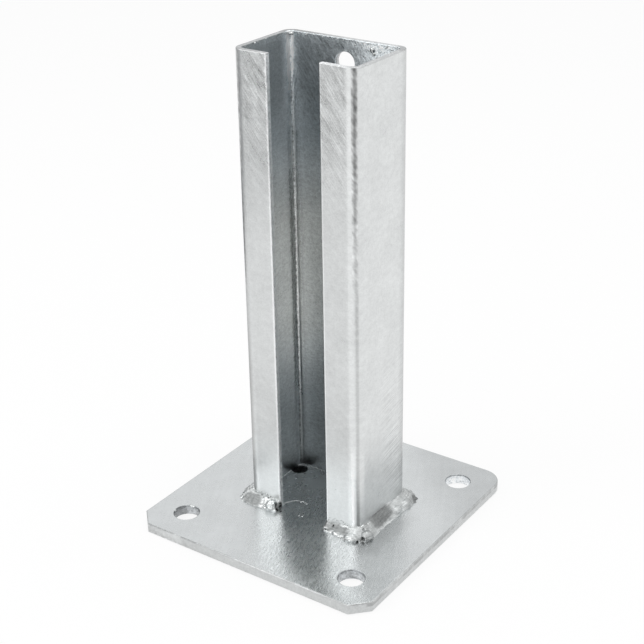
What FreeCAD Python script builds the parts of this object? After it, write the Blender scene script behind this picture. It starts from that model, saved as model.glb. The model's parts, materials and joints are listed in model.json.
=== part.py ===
import FreeCAD, Part
import math
import os

# Column base plate: a square galvanised plate with a slotted channel welded upright on it.
# Frame: the origin is at the centre of the plate's underside, +Z up, +X along the channel's
# wide back wall, and the slot faces -Y. All sizes are in millimetres.

# Driving dimensions of the base plate
plate_side = 150.0
plate_thickness = 6.0
plate_corner_cut = 9.0
plate_round_corner_radius = 12.0
plate_edge_bevel = 0.5

# Driving dimensions of the anchor holes, punched from above
anchor_hole_diameter = 14.0
anchor_hole_edge_distance = 20.0
anchor_hole_bevel = 0.5

# Driving dimensions of the channel, folded from sheet into a box with a slot in front
overall_height = 264.0
channel_width = 74.0
channel_depth = 48.0
sheet_thickness = 3.0
bend_inner_radius = 3.0
lip_width = 21.5
lip_edge_radius = 0.7
channel_shift_right = 1.8
channel_shift_back = 0.8

# Driving dimensions of the retaining screw hole in the back wall
screw_hole_diameter = 11.0
screw_hole_below_top = 12.5

# Driving dimensions of the drain hole in the plate, inside the channel's back left corner
drain_hole_diameter = 9.0
drain_hole_under_left_wall = 1.4
drain_hole_to_back_wall = 1.1

# Driving dimensions of the two weld beads. The right one was laid on a little thicker.
right_weld_reach = 7.0
right_weld_rise = 5.8
left_weld_reach = 6.4
left_weld_rise = 5.2
weld_crown = 1.1
weld_ripple_pitch = 2.8
weld_ripple_height = 0.35
weld_corner_swell = 0.22
weld_corner_swell_length = 9.0
weld_end_length = 3.0
weld_end_scale = 0.55
weld_end_setback = 0.3
weld_back_wrap = 4.0
weld_bend_ripples = 3
weld_section_shares = (0.0, 0.3, 0.65, 1.0)
weld_root = 0.8

# Working values: how far a cutter runs past the metal, and how closely places are compared
cutter_overrun = 1.0
place_tolerance = 1e-6

# Places worked out from the driving dimensions
half_plate = plate_side / 2
plate_top = plate_thickness
hole_offset = half_plate - anchor_hole_edge_distance
bend_outer_radius = bend_inner_radius + sheet_thickness
channel_left = channel_shift_right - channel_width / 2
channel_right = channel_shift_right + channel_width / 2
channel_front = channel_shift_back - channel_depth / 2
channel_back = channel_shift_back + channel_depth / 2
channel_height = overall_height - plate_thickness
slot_width = channel_width - 2 * lip_width


def vec(x, y, z=0.0):
    return FreeCAD.Vector(x, y, z)


def line(start, end):
    return Part.LineSegment(start, end).toShape()


def corner_arc(centre, radius, start_degrees, end_degrees):
    """A quarter arc, or less, about a point in a horizontal plane."""
    angles = (start_degrees, (start_degrees + end_degrees) / 2, end_degrees)
    points = [centre + polar(radius, angle) for angle in angles]
    return Part.Arc(*points).toShape()


def polar(radius, degrees):
    angle = math.radians(degrees)
    return vec(radius * math.cos(angle), radius * math.sin(angle))


def plate_drill(x, y, diameter):
    """A cutter that goes right through the plate."""
    base = vec(x, y, -cutter_overrun)
    return Part.makeCylinder(diameter / 2, plate_thickness + 2 * cutter_overrun, base)


def rounded_rectangle(left, front, right, back, radius, level):
    """A flat face whose four corners have the same radius."""
    low_x = left + radius
    high_x = right - radius
    low_y = front + radius
    high_y = back - radius
    edges = [
        line(vec(low_x, front, level), vec(high_x, front, level)),
        corner_arc(vec(high_x, low_y, level), radius, -90, 0),
        line(vec(right, low_y, level), vec(right, high_y, level)),
        corner_arc(vec(high_x, high_y, level), radius, 0, 90),
        line(vec(high_x, back, level), vec(low_x, back, level)),
        corner_arc(vec(low_x, high_y, level), radius, 90, 180),
        line(vec(left, high_y, level), vec(left, low_y, level)),
        corner_arc(vec(low_x, low_y, level), radius, 180, 270),
    ]
    return Part.Face(Part.Wire(edges))


def plate_outline():
    """Three corners are cut off at 45 degrees and the back right one is rounded."""
    side = half_plate
    cut = plate_corner_cut
    radius = plate_round_corner_radius
    edges = [
        line(vec(cut - side, -side), vec(side - cut, -side)),
        line(vec(side - cut, -side), vec(side, cut - side)),
        line(vec(side, cut - side), vec(side, side - radius)),
        corner_arc(vec(side - radius, side - radius), radius, 0, 90),
        line(vec(side - radius, side), vec(cut - side, side)),
        line(vec(cut - side, side), vec(-side, side - cut)),
        line(vec(-side, side - cut), vec(-side, cut - side)),
        line(vec(-side, cut - side), vec(cut - side, -side)),
    ]
    return Part.Face(Part.Wire(edges))


def edges_at_level(solid, level):
    """The edges that lie flat at one height."""
    flat = []
    for edge in solid.Edges:
        box = edge.BoundBox
        if abs(box.ZMin - level) < place_tolerance and abs(box.ZMax - level) < place_tolerance:
            flat.append(edge)
    return flat


def drain_hole():
    """The hole bites a little under the left wall, so that molten zinc runs out of the corner."""
    radius = drain_hole_diameter / 2
    x = channel_left + sheet_thickness - drain_hole_under_left_wall + radius
    y = channel_back - sheet_thickness - drain_hole_to_back_wall - radius
    return plate_drill(x, y, drain_hole_diameter)


def base_plate():
    slab = plate_outline().extrude(vec(0, 0, plate_thickness))
    slab = slab.makeChamfer(plate_edge_bevel, edges_at_level(slab, plate_top))
    rims = []
    for side_x in (-1, 1):
        for side_y in (-1, 1):
            x = side_x * hole_offset
            y = side_y * hole_offset
            slab = slab.cut(plate_drill(x, y, anchor_hole_diameter))
            rims.append(vec(x, y, plate_top))
    slab = slab.makeChamfer(anchor_hole_bevel, circles_about(slab, rims))
    return slab.cut(drain_hole())


def circles_about(solid, centres):
    """The round edges whose centres are in the list."""
    found = []
    for edge in solid.Edges:
        if isinstance(edge.Curve, Part.Circle):
            gaps = [edge.Curve.Center.distanceToPoint(centre) for centre in centres]
            if min(gaps) < place_tolerance:
                found.append(edge)
    return found


def lip_end_edges(solid):
    """The four upright edges of the slot, where the sheet ends."""
    sides = (channel_left + lip_width, channel_right - lip_width)
    found = []
    for edge in solid.Edges:
        box = edge.BoundBox
        upright = box.ZLength > channel_height / 2
        gap = min(abs(box.XMin - side) for side in sides)
        if upright and gap < place_tolerance:
            found.append(edge)
    return found


def slotted_channel():
    """Outer box outline less the inner one, less the slot, drawn up from the plate."""
    outer = rounded_rectangle(
        channel_left, channel_front, channel_right, channel_back, bend_outer_radius, plate_top
    )
    inner = rounded_rectangle(
        channel_left + sheet_thickness,
        channel_front + sheet_thickness,
        channel_right - sheet_thickness,
        channel_back - sheet_thickness,
        bend_inner_radius,
        plate_top,
    )
    tube = outer.cut(inner).extrude(vec(0, 0, channel_height))
    corner = vec(
        channel_left + lip_width, channel_front - cutter_overrun, plate_top - cutter_overrun
    )
    slot_depth = sheet_thickness + 2 * cutter_overrun
    slot = Part.makeBox(slot_width, slot_depth, channel_height + 2 * cutter_overrun, corner)
    channel = tube.cut(slot)
    channel = channel.makeFillet(lip_edge_radius, lip_end_edges(channel))
    return channel.cut(screw_hole())


def screw_hole():
    """A round hole through the back wall, on the channel's centre line."""
    base = vec(
        channel_shift_right,
        channel_back - sheet_thickness - cutter_overrun,
        overall_height - screw_hole_below_top,
    )
    length = sheet_thickness + 2 * cutter_overrun
    return Part.makeCylinder(screw_hole_diameter / 2, length, base, vec(0, 1, 0))


def straight_stations(start, end, heading, travelled):
    """Crests and valleys of the ripples along a straight wall."""
    length = start.distanceToPoint(end)
    count = 2 * max(1, round(length / weld_ripple_pitch))
    stations = []
    for step in range(count):
        share = step / count
        point = start + (end - start) * share
        stations.append((travelled + length * share, point, polar(1.0, heading)))
    return stations, travelled + length


def bend_stations(centre, heading, travelled):
    """The same round a quarter bend that starts in the given heading."""
    length = bend_outer_radius * math.pi / 2
    count = 2 * weld_bend_ripples
    stations = []
    for step in range(count):
        share = step / count
        direction = polar(1.0, heading + 90 * share)
        point = centre + direction * bend_outer_radius
        stations.append((travelled + length * share, point, direction))
    return stations, travelled + length


def wall_stations():
    """Distances, points and outward directions along the channel's right outer wall.

    The path starts at the slot, runs along the lip, round the front bend, along the flange,
    round the back bend and a little way along the back wall. The distances at the middles
    of the two bends come with it.
    """
    radius = bend_outer_radius
    bend_x = channel_right - radius
    bend_front_y = channel_front + radius
    bend_back_y = channel_back - radius
    lip_start = vec(channel_right - lip_width + weld_end_setback, channel_front)
    lip_end = vec(bend_x, channel_front)
    flange_start = vec(channel_right, bend_front_y)
    flange_end = vec(channel_right, bend_back_y)
    back_start = vec(bend_x, channel_back)
    back_end = vec(bend_x - weld_back_wrap, channel_back)

    lip, at_front_bend = straight_stations(lip_start, lip_end, -90, 0.0)
    front, at_flange = bend_stations(vec(bend_x, bend_front_y), -90, at_front_bend)
    flange, at_back_bend = straight_stations(flange_start, flange_end, 0, at_flange)
    back, at_back_wall = bend_stations(vec(bend_x, bend_back_y), 0, at_back_bend)
    tail, at_end = straight_stations(back_start, back_end, 90, at_back_wall)
    stations = lip + front + flange + back + tail
    stations.append((at_end, back_end, polar(1.0, 90)))
    corners = ((at_front_bend + at_flange) / 2, (at_back_bend + at_back_wall) / 2)
    return stations, corners


def bead_scale(distance, length, corners):
    """The bead swells at the bends, where the torch slows, and tapers at both ends."""
    swell = 0.0
    for corner in corners:
        offset = (distance - corner) / weld_corner_swell_length
        swell += weld_corner_swell * math.exp(-offset * offset)
    from_end = min(distance, length - distance, weld_end_length) / weld_end_length
    taper = weld_end_scale + (1 - weld_end_scale) * math.sqrt(from_end)
    return (1 + swell) * taper


def bead_section(point, direction, reach, rise, crown):
    """A closed outline: out from the root to the toe, and over the crown up to the wall.

    The root lies inside the sheet, so that trimming by the channel leaves a clean seat.
    """
    run = reach + weld_root
    slope = math.hypot(run, rise)
    outline = [(-weld_root, 0.0)]
    for share in weld_section_shares:
        bulge = crown * math.sin(math.pi * share)
        out = reach - run * share + bulge * rise / slope
        up = rise * share + bulge * run / slope
        outline.append((out, up))
    points = [
        point + direction * out + vec(0, 0, plate_top + up)
        for out, up in outline
    ]
    return Part.makePolygon(points + points[:1])


def weld_bead(channel, reach, rise):
    """Ripples follow the outer wall, and the channel's own shape trims the root."""
    stations, corners = wall_stations()
    length = stations[-1][0]
    sections = []
    for index, (distance, point, direction) in enumerate(stations):
        ripple = weld_ripple_height * (1 if index % 2 else -1)
        scale = bead_scale(distance, length, corners)
        sizes = [size * scale + ripple for size in (reach, rise, weld_crown)]
        sections.append(bead_section(point, direction, *sizes))
    bead = Part.makeLoft(sections, True, True)
    return bead.cut(channel)


def mirrored_across_channel(shape):
    return shape.mirror(vec(channel_shift_right, 0, 0), vec(1, 0, 0))


def build():
    channel = slotted_channel()
    left = weld_bead(channel, left_weld_reach, left_weld_rise)
    return {
        "base_plate": base_plate(),
        "slotted_channel": channel,
        "weld_right": weld_bead(channel, right_weld_reach, right_weld_rise),
        "weld_left": mirrored_across_channel(left),
    }


os.makedirs("parts", exist_ok=True)
for name, shape in build().items():
    shape.exportStep(f"parts/{name}.step")
    print(name, "solids", len(shape.Solids), "valid", shape.isValid(), "mm3", round(shape.Volume, 1))
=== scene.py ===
# %% [markdown]
# A column base plate, hot-dip galvanised. A square steel plate carries a tall channel folded
# from sheet, with two weld beads at its foot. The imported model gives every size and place, and
# this script gives the zinc its look: soft grey metal with run marks, lumps and rounded edges.

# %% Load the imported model
import json
import math

import bmesh
import bpy
from mathutils import Matrix, Vector, kdtree, noise


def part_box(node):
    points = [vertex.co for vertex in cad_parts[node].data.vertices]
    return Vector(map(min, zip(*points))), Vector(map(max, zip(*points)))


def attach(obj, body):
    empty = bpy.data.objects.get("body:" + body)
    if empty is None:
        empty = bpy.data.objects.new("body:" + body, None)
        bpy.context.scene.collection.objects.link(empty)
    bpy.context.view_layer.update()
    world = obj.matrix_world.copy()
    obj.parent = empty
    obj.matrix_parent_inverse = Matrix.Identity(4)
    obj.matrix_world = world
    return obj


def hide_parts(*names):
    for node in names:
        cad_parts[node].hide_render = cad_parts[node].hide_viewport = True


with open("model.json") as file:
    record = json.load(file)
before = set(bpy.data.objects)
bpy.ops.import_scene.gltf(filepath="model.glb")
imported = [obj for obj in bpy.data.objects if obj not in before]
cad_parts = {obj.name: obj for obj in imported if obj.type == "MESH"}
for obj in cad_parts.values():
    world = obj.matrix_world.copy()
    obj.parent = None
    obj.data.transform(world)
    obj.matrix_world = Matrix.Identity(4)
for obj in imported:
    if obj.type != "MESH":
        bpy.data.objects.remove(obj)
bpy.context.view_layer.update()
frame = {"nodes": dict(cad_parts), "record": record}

MM = 0.001
print("packed nodes:", sorted(frame["nodes"]))

# %% [markdown]
# The camera stands to the right of the slot and looks down on the plate. Its place was worked
# out from the plate's corners and the channel's edges, so it is given as angles, a distance and
# the point that it looks at. A small shift stands for the part of the picture that was cut away.

# %% Place the camera
view_azimuth, view_elevation, view_roll = (math.radians(angle) for angle in (33.88, 24.37, -0.39))
view_distance = 720.0 * MM
view_aim = Vector((14.5, 9.7, 134.0)) * MM
view_lens = 76.45
view_shift = -0.05


def new_object(name, data):
    thing = bpy.data.objects.new(name, data)
    bpy.context.scene.collection.objects.link(thing)
    return thing


def place_camera():
    data = bpy.data.cameras.new("camera")
    data.lens = view_lens
    data.shift_x = data.shift_y = view_shift
    data.clip_start = 10 * MM
    camera = new_object("camera", data)
    turned = Matrix.Rotation(view_azimuth, 4, "Z") @ Matrix.Rotation(math.pi / 2 - view_elevation, 4, "X")
    turned @= Matrix.Rotation(view_roll, 4, "Z") @ Matrix.Translation((0, 0, view_distance))
    camera.matrix_world = Matrix.Translation(view_aim) @ turned
    bpy.context.scene.camera = camera
    return camera


print("camera stands at", [round(value / MM) for value in place_camera().location], "mm")

# %% [markdown]
# Colours are written as sRGB hex values, as a picture editor shows them, and one function turns
# them to the linear values that shaders use. One more function adds a node, sets it up and
# links it, so that each material reads as a list of what it is made from.

# %% Helpers for colours and nodes
def linear(hex_colour):
    """Linear red, green, blue and alpha of an sRGB hex colour."""
    parts = [int(hex_colour[place:place + 2], 16) / 255 for place in (1, 3, 5)]
    values = [part / 12.92 if part <= 0.04045 else ((part + 0.055) / 1.055) ** 2.4 for part in parts]
    return (*values, 1.0)


def add_node(tree, kind, inputs=(), **settings):
    """A new node. Its inputs come in order or by name: values, sockets, or nodes for their first output."""
    node = tree.nodes.new(kind)
    for name, value in settings.items():
        setattr(node, name, value)
    for name, value in inputs.items() if isinstance(inputs, dict) else enumerate(inputs):
        if isinstance(value, bpy.types.Node):
            value = value.outputs[0]
        if isinstance(value, bpy.types.NodeSocket):
            tree.links.new(value, node.inputs[name])
        else:
            node.inputs[name].default_value = value
    return node

# %% [markdown]
# Zinc is almost a mirror, so the studio is most of its colour. A white floor and a white room
# surround the plate. Three cards stand just out of the picture and are seen only in the zinc: two
# grey ones at the left and in front, which the lips mirror, and a nearly black one at the right,
# which darkens the fold. A small dark sheet under the drain hole is painted shade: it stands in
# for the shade there. Soft lamps shine from the front left, from straight in front, low enough to
# light the foot of the front fold, and from above.

# %% Light the studio
def join_white(tree, plain, white, share, output):
    """Joins a plain shader, and for the rays that see a white studio a share of the white one."""
    rays = add_node(tree, "ShaderNodeLightPath").outputs
    seen = rays["Is Camera Ray"]
    for kind in ("Is Glossy Ray", "Is Transmission Ray"):
        seen = add_node(tree, "ShaderNodeMath", (seen, rays[kind]), operation="MAXIMUM").outputs[0]
    part = add_node(tree, "ShaderNodeMath", (seen, share), operation="MULTIPLY")
    mixed = add_node(tree, "ShaderNodeMixShader", (part, plain, white))
    add_node(tree, output, {"Surface": mixed})


def studio_world():
    world = bpy.data.worlds.new("studio")
    bpy.context.scene.world = world
    world.use_nodes = True
    tree = world.node_tree
    tree.nodes.clear()
    light = add_node(tree, "ShaderNodeBackground", {"Color": (0.8, 0.8, 0.8, 1)})
    white = add_node(tree, "ShaderNodeBackground", {"Color": (1, 1, 1, 1)})
    join_white(tree, light, white, 1.0, "ShaderNodeOutputWorld")


def soft_lamp(name, place, aim, size, power):
    """A square lamp that shines from its place to its aim."""
    data = bpy.data.lights.new(name, "AREA")
    data.size = size
    data.energy = power
    lamp = new_object(name, data)
    lamp.location = place
    lamp.rotation_euler = (Vector(aim) - Vector(place)).to_track_quat("-Z", "Y").to_euler()
    lamp.visible_camera = False


def sweep_material():
    """White card: its own paint keeps the shadow, and a share of plain white lifts it to paper white."""
    material = bpy.data.materials.new("white_card")
    material.use_nodes = True
    tree = material.node_tree
    tree.nodes.clear()
    paint = add_node(tree, "ShaderNodeBsdfDiffuse", {"Color": (0.9, 0.9, 0.9, 1)})
    glow = add_node(tree, "ShaderNodeEmission", {"Color": (1, 1, 1, 1)})
    join_white(tree, paint, glow, 0.85, "ShaderNodeOutputMaterial")
    return material


def card_material(name, colour):
    """Matt card. A standing card is seen only in the zinc, as a darker stripe; the sheet under the drain hole
    is painted shade.
    """
    material = bpy.data.materials.new(name)
    material.use_nodes = True
    shader = material.node_tree.nodes["Principled BSDF"]
    shader.inputs["Base Color"].default_value = linear(colour)
    shader.inputs["Roughness"].default_value = 0.9
    return material


def stage_sheet(name, corners, material):
    """One flat four-cornered sheet of the studio, which is no part of the object."""
    mesh = bpy.data.meshes.new(name)
    mesh.from_pydata(corners, [], [(0, 1, 2, 3)])
    mesh.materials.append(material)
    sheet = new_object(name, mesh)
    return sheet


def standing_card(name, distance, first_azimuth, last_azimuth, height, colour):
    """A card on the floor, facing the plate. Azimuth 0 is in front of the slot, 90 is at the right."""
    start, end = (
        (distance * math.sin(math.radians(azimuth)), -distance * math.cos(math.radians(azimuth)))
        for azimuth in (first_azimuth, last_azimuth)
    )
    corners = [(*start, 0), (*end, 0), (*end, height), (*start, height)]
    card = stage_sheet(name, corners, card_material(name, colour))
    card.visible_camera = card.visible_shadow = card.visible_diffuse = False


def flat_corners(left, front, right, back, level):
    return [(left, front, level), (right, front, level), (right, back, level), (left, back, level)]


floor_reach = 40.0
studio_world()
stage_sheet(
    "white_sweep", flat_corners(-floor_reach, -floor_reach, floor_reach, floor_reach, -0.2 * MM),
    sweep_material(),
)
# Painted shade: a dark sheet under the drain hole stands in for the shade there.
stage_sheet(
    "shade_under_drain_hole", flat_corners(-0.04, 0.005, -0.015, 0.03, -0.1 * MM),
    card_material("shade_card", "#141516"),
)
standing_card("left_card", 0.38, -128, -78, 0.10, "#8c8e90")
standing_card("front_card", 0.60, -85, -38, 0.15, "#8c8e90")
standing_card("side_card", 0.55, 31, 58, 0.14, "#1c1d1e")
soft_lamp("front_left_lamp", (-0.9, -1.3, 1.0), (0, 0, 0.12), 0.9, 5.4)
soft_lamp("front_lamp", (0.13, -1.5, 0.68), (0, 0, 0.03), 0.4, 1.3)
soft_lamp("top_lamp", (0.2, 0.1, 1.6), (0, 0, 0.1), 0.8, 6)
bpy.context.scene.view_settings.view_transform = "Standard"

# %% [markdown]
# The channel is one sheet of steel, folded four times. Its middle line, seen from above, is laid
# out as straight stretches and bends, and each point keeps the direction that faces outward.
# The length along that line is kept too: it becomes the sheet's own map, on which the zinc's
# streaks run across the folds as they do on the real sheet.

# %% The folded line of the channel
channel_low, channel_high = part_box("slotted_channel")
sheet_thickness = 3.0 * MM
inner_bend = 3.0 * MM
lip_width = 21.5 * MM
outer_bend = inner_bend + sheet_thickness
half_sheet = sheet_thickness / 2
middle_bend = inner_bend + half_sheet
column_step = 0.9 * MM
bend_steps = 10
mounts = {mount["name"]: mount for mount in frame["record"]["mounts"]}
screw_hole_centre = Vector(mounts["retaining_screw_hole"]["pos_m"])
screw_hole_radius = mounts["retaining_screw_hole"]["dims"]["r_mm"] * MM
hole_patch = 8.0 * MM


def facing_at(angle):
    """The level direction at an angle in degrees. Nought is to the right, and 90 is to the back."""
    return Vector((math.cos(math.radians(angle)), math.sin(math.radians(angle))))


def flat_stretch(start, end, angle):
    """Flat sheet between two bend centres: the places of its middle without the last, and their facing."""
    seat = facing_at(angle) * middle_bend
    steps = max(2, round((end - start).length / column_step))
    return [(start.lerp(end, step / steps) + seat, facing_at(angle)) for step in range(steps)]


def bend_stretch(centre, first_angle, last_angle):
    """The same round one bend, whose facing turns from the first angle to the last."""
    angles = (first_angle + (last_angle - first_angle) * step / bend_steps for step in range(bend_steps))
    return [(centre + facing_at(angle) * middle_bend, facing_at(angle)) for angle in angles]


def folded_line():
    """The sheet's middle from the left lip's edge round to the right lip's edge."""
    left, right = channel_low.x + outer_bend, channel_high.x - outer_bend
    front, back = channel_low.y + outer_bend, channel_high.y - outer_bend
    patch_start, patch_end = screw_hole_centre.x - hole_patch, screw_hole_centre.x + hole_patch
    stops = [Vector(stop) for stop in (
        (channel_low.x + lip_width, front), (left, front), (left, back), (patch_start, back),
        (patch_end, back), (right, back), (right, front), (channel_high.x - lip_width, front),
    )]
    angles = (270, 180, 90, 90, 90, 0, -90)
    line = []
    for start, end, angle, next_angle in zip(stops, stops[1:], angles, (*angles[1:], -90)):
        line += flat_stretch(start, end, angle)
        if next_angle != angle:
            line += bend_stretch(end, angle, next_angle)
    return line + [(stops[-1] + facing_at(-90) * middle_bend, facing_at(-90))]


def lengths_along(places):
    """How far along a row of places each of them lies."""
    lengths = [0.0]
    for here, there in zip(places, places[1:]):
        lengths.append(lengths[-1] + (there - here).length)
    return lengths


channel_line = folded_line()
channel_lengths = lengths_along([place for place, _ in channel_line])
print("sheet unfolds to", round(channel_lengths[-1] / MM, 1), "mm in", len(channel_line), "columns")

# %% [markdown]
# The sheet could be a CAD solid with a bevel, but a real galvanised sheet isn't that exact: its
# edges are rounded by the zinc, and its faces wander by a few hundredths of a millimetre. So it is a
# fine net of squares along the folded line, with a ring of squares round the screw hole. Solidify
# gives the net its thickness, and Bevel rounds every cut edge.

# %% The net of the sheet
row_step = 2.4 * MM
fine_row_step = 0.8 * MM
hole_rings = 4
edge_rounding = 0.6 * MM
wave_depth = 0.10 * MM
curdle_height = 0.42 * MM


def even_steps(start, end, step):
    """Values from start up to, but without, end in equal steps of about the given size."""
    count = max(1, round((end - start) / step))
    return [start + (end - start) * index / count for index in range(count)]


def row_heights():
    """Coarse rows up to the screw hole's patch of the net, and fine ones from there to the top."""
    patch_low, patch_high = screw_hole_centre.z - hole_patch, screw_hole_centre.z + hole_patch
    levels = (channel_low.z, patch_low, patch_high, channel_high.z)
    heights = []
    for low, high, step in zip(levels, levels[1:], (row_step, fine_row_step, fine_row_step)):
        heights += even_steps(low, high, step)
    return heights + [channel_high.z]


def square_ring(columns, rows):
    """The places in the net round a rectangle of it, in order."""
    left, right, low, high = columns[0], columns[-1], rows[0], rows[-1]
    ring = [(column, low) for column in columns[:-1]]
    ring += [(right, row) for row in rows[:-1]]
    ring += [(column, high) for column in reversed(columns[1:])]
    return ring + [(left, row) for row in reversed(rows[1:])]


def sheet_net():
    """The net's points, squares and map, with a round hole in the back wall."""
    heights = row_heights()
    width = len(channel_line)
    points = [(place.x, place.y, height) for height in heights for place, _ in channel_line]
    places_on_map = [(length, height) for height in heights for length in channel_lengths]
    in_reach = hole_patch + 0.01 * MM
    patch_columns = [
        index for index, (place, facing) in enumerate(channel_line)
        if facing.y > 0.999 and abs(place.x - screw_hole_centre.x) < in_reach
    ]
    patch_rows = [
        index for index, height in enumerate(heights) if abs(height - screw_hole_centre.z) < in_reach
    ]
    in_patch = {(column, row) for column in patch_columns[:-1] for row in patch_rows[:-1]}
    faces = []
    for row in range(len(heights) - 1):
        for column in range(width - 1):
            if (column, row) not in in_patch:
                first = row * width + column
                faces.append((first, first + width, first + width + 1, first + 1))
    outer = [row * width + column for column, row in square_ring(patch_columns, patch_rows)]
    ring = outer
    for step in range(1, hole_rings + 1):
        inner = []
        for index in outer:
            corner = Vector(points[index])
            spoke = Vector((corner.x - screw_hole_centre.x, 0, corner.z - screw_hole_centre.z))
            on_hole = screw_hole_centre + spoke.normalized() * screw_hole_radius
            place = corner.lerp(Vector((on_hole.x, corner.y, on_hole.z)), step / hole_rings)
            inner.append(len(points))
            points.append(tuple(place))
            places_on_map.append((places_on_map[index][0] + place.x - corner.x, place.z))
        for index in range(len(ring)):
            after = (index + 1) % len(ring)
            faces.append((ring[index], inner[index], inner[after], ring[after]))
        ring = inner
    return points, faces, places_on_map


def finished_mesh(thing):
    """A mesh of the object as its modifiers or its curve's settings make it."""
    bpy.context.view_layer.update()
    graph = bpy.context.evaluated_depsgraph_get()
    return bpy.data.meshes.new_from_object(thing.evaluated_get(graph))


def plain_mesh(thing):
    """The object's mesh with its modifiers worked in."""
    mesh = finished_mesh(thing)
    thing.modifiers.clear()
    thing.data = mesh
    return mesh


def change(thing, kind, **settings):
    """Adds a modifier with its settings."""
    modifier = thing.modifiers.new(kind, kind)
    for name, value in settings.items():
        setattr(modifier, name, value)
    return modifier


def thick_sheet():
    points, faces, places_on_map = sheet_net()
    net = bpy.data.meshes.new("zinc_channel")
    net.from_pydata(points, [], faces)
    layer = net.uv_layers.new(name="unfolded")
    for loop in net.loops:
        layer.data[loop.index].uv = places_on_map[loop.vertex_index]
    for name in ("outside", "inside", "cut_edge"):
        net.materials.append(bpy.data.materials.new(name))
    channel = new_object("zinc_channel", net)
    change(
        channel, "SOLIDIFY", thickness=sheet_thickness, offset=0, use_even_offset=True, material_offset=1,
        material_offset_rim=2,
    )
    change(
        channel, "BEVEL", width=edge_rounding, segments=4, limit_method="ANGLE",
        angle_limit=math.radians(60),
    )
    return channel


def push_points(mesh, push):
    """Moves each point along its normal by what the function says of it."""
    moved = [vertex.co + vertex.normal * push(vertex) for vertex in mesh.vertices]
    for vertex, place in zip(mesh.vertices, moved):
        vertex.co = place
    mesh.update()


def wander(vertex):
    """Inward by a few hundredths, and the fold behind the slot curdles near the top. The ends stay."""
    place = vertex.co
    if not channel_low.z + 0.5 * MM < place.z < channel_high.z - 0.5 * MM:
        return 0.0
    fold = Vector((channel_low.x + outer_bend, channel_high.y - outer_bend))
    slow = noise.noise(Vector((place.x * 30, place.y * 30, place.z * 40)))
    push = -(0.5 + 0.5 * slow) * wave_depth
    if (place.xy - fold).length < inner_bend * 1.4 and place.x < fold.x and place.y > fold.y:
        share = max(0.1, min(1.0, (place.z - 0.20) / 0.05))
        push += noise.noise(Vector((place.x * 500, place.y * 500, place.z * 180))) * curdle_height * share
    return push


channel = thick_sheet()
sheet = plain_mesh(channel)
push_points(sheet, wander)
print("channel:", len(sheet.vertices), "points,", len(sheet.polygons), "faces")
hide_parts("slotted_channel")
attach(channel, "root")

# %% [markdown]
# The plate is a flat outline with five holes. A filled 2D curve makes that directly: the outer
# loop and the holes are its splines, Extrude gives the thickness and a round bevel gives the soft
# zinc-coated arris. The bevel is offset inward by its own depth, so the plate keeps its size.

# %% The plate
plate_low, plate_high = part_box("base_plate")
plate_corner_cut = 9.0 * MM
plate_round_corner = 12.0 * MM
plate_arris = 0.7 * MM
drain_hole_radius = 4.5 * MM
drain_hole_centre = Vector((-29.1, 16.2)) * MM
anchor = mounts["anchor_holes"]["dims"]
anchor_radius = anchor["hole_r_mm"] * MM
anchor_x, anchor_y = anchor["spacing_x_mm"] * MM / 2, anchor["spacing_y_mm"] * MM / 2


def arc(centre, radius, whole_turn, steps, count):
    """As many points on a circle as count says, where so many steps make the whole turn."""
    turns = (whole_turn * step / steps for step in range(count))
    return [Vector(centre) + radius * Vector((math.cos(turn), math.sin(turn))) for turn in turns]


def plate_outline():
    """The square plate's corners, three of them cut off and the right one rounded."""
    left, front, right, back = plate_low.x, plate_low.y, plate_high.x, plate_high.y
    cut = plate_corner_cut
    outline = [(left, front + cut), (left + cut, front), (right - cut, front), (right, front + cut)]
    centre = (right - plate_round_corner, back - plate_round_corner)
    outline += arc(centre, plate_round_corner, math.pi / 2, 12, 13)
    return outline + [(left + cut, back), (left, back - cut)]


def plate_curve():
    curve = bpy.data.curves.new("zinc_plate", "CURVE")
    curve.dimensions = "2D"
    curve.fill_mode = "BOTH"
    loops = [plate_outline()]
    for x in (-anchor_x, anchor_x):
        for y in (-anchor_y, anchor_y):
            loops.append(arc((x, y), anchor_radius, math.tau, 64, 64))
    loops.append(arc(drain_hole_centre, drain_hole_radius, math.tau, 48, 48))
    for loop in loops:
        spline = curve.splines.new("POLY")
        spline.points.add(len(loop) - 1)
        for point, place in zip(spline.points, loop):
            point.co = (*place, 0, 1)
        spline.use_cyclic_u = True
    curve.extrude = (plate_high.z - plate_low.z) / 2 - plate_arris
    curve.bevel_depth = plate_arris
    curve.bevel_resolution = 3
    curve.offset = -plate_arris
    return curve


outline = new_object("plate_outline", plate_curve())
plate = new_object("zinc_plate", finished_mesh(outline))
bpy.data.objects.remove(outline)
plate.data.transform(Matrix.Translation((0, 0, (plate_low.z + plate_high.z) / 2)))
print("plate:", len(plate.data.vertices), "points,", [round(size / MM, 2) for size in plate.dimensions], "mm")
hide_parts("base_plate")
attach(plate, "root")

# %% [markdown]
# A weld bead is a row of frozen ripples: the puddle of molten steel moves along the joint and sets
# in scales. So each bead is made that way. A line of points runs along the channel's foot, and
# each point knows which way is outward and how far the bead reaches and rises there. A node tree
# sets one squashed ball on every step of that line. The balls are then melted together.

# %% The node tree that lays the ripples
socket_kinds = {float: "NodeSocketFloat", int: "NodeSocketInt", tuple: "NodeSocketVector"}


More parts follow.
